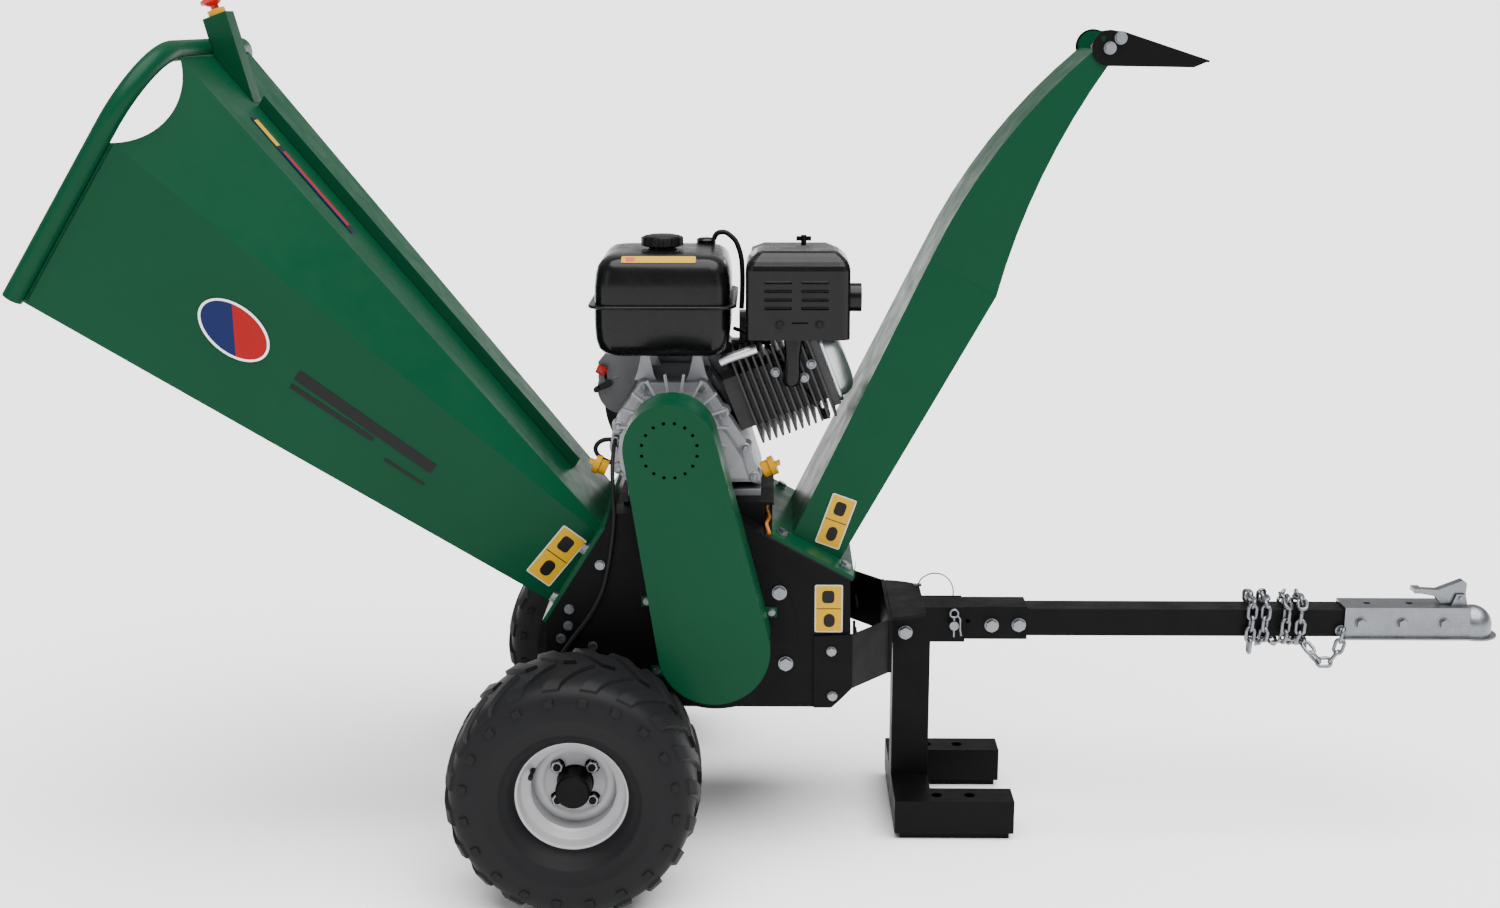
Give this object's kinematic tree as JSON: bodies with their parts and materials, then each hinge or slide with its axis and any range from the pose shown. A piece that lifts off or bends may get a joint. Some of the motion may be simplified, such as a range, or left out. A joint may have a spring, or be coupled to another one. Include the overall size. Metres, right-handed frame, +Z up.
{
  "type": "wood chipper",
  "caption": "Towable engine-driven wood chipper with feed hopper, knife rotor, belt guard, discharge chute with tilting deflector, wheels, stand and ball coupler.",
  "frame": {"origin": "on the ground, in the middle of the machine's length and width", "axes": "+X toward the tow coupler, +Y away from the belt guard, +Z up"},
  "size_m": [2.4926, 0.958, 1.4447],
  "materials": {
    "green_paint": "gloss powder coat",
    "black_paint": "satin powder coat",
    "zinc": "zinc plated",
    "steel": "machined",
    "iron": "cast",
    "cast_alloy": "die cast",
    "tyre_rubber": "moulded",
    "rubber": "matte",
    "rim_paint": "silver paint",
    "black_plastic": "textured",
    "red_plastic": "gloss",
    "yellow_plastic": "gloss"
  },
  "bodies": {
    "machine": {"air_cleaner": "black_paint", "anvil": "steel", "axle_beam": "black_paint", "belt_guard": "green_paint", "cable_duct": "green_paint", "chute_gasket": "rubber", "chute_shell": "green_paint", "control_plate": "cast_alloy", "coupler_body": "zinc", "crankcase": "cast_alloy", "crankcase_cover": "cast_alloy", "cylinder": "cast_alloy", "drawbar_arms": "black_paint", "drawbar_sleeve": "black_paint", "drawbar_tube": "black_paint", "drive_belts": "rubber", "engine_deck": "black_paint", "fuel_hose": "rubber", "fuel_tank": "black_paint", "hitch_head": "black_paint", "hitch_pin": "zinc", "hopper_handle": "green_paint", "hopper_shell": "green_paint", "housing_bolts": "zinc", "lanyard": "zinc", "muffler": "black_paint", "oil_caps": "yellow_plastic", "recoil_cover": "black_plastic", "recoil_grip": "black_plastic", "rotor_bearings": "steel", "rotor_shell": "black_paint", "safety_chain": "zinc", "side_plate_far": "black_paint", "side_plate_near": "black_paint", "stand_leg": "black_paint", "stop_cable": "rubber", "stop_collar": "yellow_plastic", "stop_post": "black_paint", "valve_cover": "zinc"},
    "wheel_near": {"tyre_near": "tyre_rubber", "rim_near": "rim_paint", "hub_near": "black_paint"},
    "wheel_far": {"tyre_far": "tyre_rubber", "rim_far": "rim_paint", "hub_far": "black_paint"},
    "rotor": {"rotor_drum": "black_paint", "rotor_shaft": "steel", "rotor_knives": "steel", "driven_pulley": "iron"},
    "crank": {"crankshaft": "steel", "flywheel": "cast_alloy", "drive_pulley": "iron"},
    "deflector": {"deflector": "black_paint", "deflector_studs": "zinc"},
    "stop_button": {"stop_button": "red_plastic"},
    "r_clip": {"r_clip": "zinc"},
    "coupler_latch": {"coupler_latch": "zinc"},
    "engine_switch": {"engine_switch": "red_plastic"},
    "throttle_lever": {"throttle_lever": "black_plastic"},
    "fuel_cap": {"fuel_cap": "black_plastic"}
  },
  "joints": [
    {"name": "wheel_near_spin", "type": "hinge", "parent": "machine", "child": "wheel_near", "pos_m": [-0.3627, -0.379, 0.2045], "axis": [0, 1, 0], "continuous": true},
    {"name": "wheel_far_spin", "type": "hinge", "parent": "machine", "child": "wheel_far", "pos_m": [-0.3627, 0.379, 0.2045], "axis": [0, 1, 0], "continuous": true},
    {"name": "rotor_spin", "type": "hinge", "parent": "machine", "child": "rotor", "pos_m": [-0.1402, 0, 0.399], "axis": [0, 1, 0], "continuous": true},
    {"name": "engine_spin", "type": "hinge", "parent": "machine", "child": "crank", "pos_m": [-0.21, 0, 0.735], "axis": [0, 1, 0], "continuous": true},
    {"name": "deflector_tilt", "type": "hinge", "parent": "machine", "child": "deflector", "pos_m": [0.5013, 0, 1.359], "axis": [0, 1, 0], "range_deg": [-15, 40]},
    {"name": "stop_button_press", "type": "slide", "parent": "machine", "child": "stop_button", "axis": [0.3379, 0, -0.9412], "range_m": [0, 0.005], "stiffness_N_per_m": 800},
    {"name": "r_clip_pull", "type": "slide", "parent": "machine", "child": "r_clip", "axis": [0, 0, 1], "range_m": [0, 0.045]},
    {"name": "coupler_latch_lift", "type": "hinge", "parent": "machine", "child": "coupler_latch", "pos_m": [1.1753, 0, 0.404], "axis": [0, 1, 0], "range_deg": [0, 50]},
    {"name": "engine_switch_turn", "type": "hinge", "parent": "machine", "child": "engine_switch", "pos_m": [-0.3467, 0.054, 0.8], "axis": [0, 1, 0], "range_deg": [-35, 35]},
    {"name": "throttle_move", "type": "hinge", "parent": "machine", "child": "throttle_lever", "pos_m": [-0.3357, 0.057, 0.774], "axis": [0, 1, 0], "range_deg": [-10, 35]},
    {"name": "fuel_cap_turn", "type": "hinge", "parent": "machine", "child": "fuel_cap", "pos_m": [-0.2352, 0.004, 1.03], "axis": [0, 0, 1], "range_deg": [0, 90]}
  ],
  "couplings": [
    {"joint": "engine_spin", "follows": "rotor_spin", "ratio": 1.5}
  ]
}
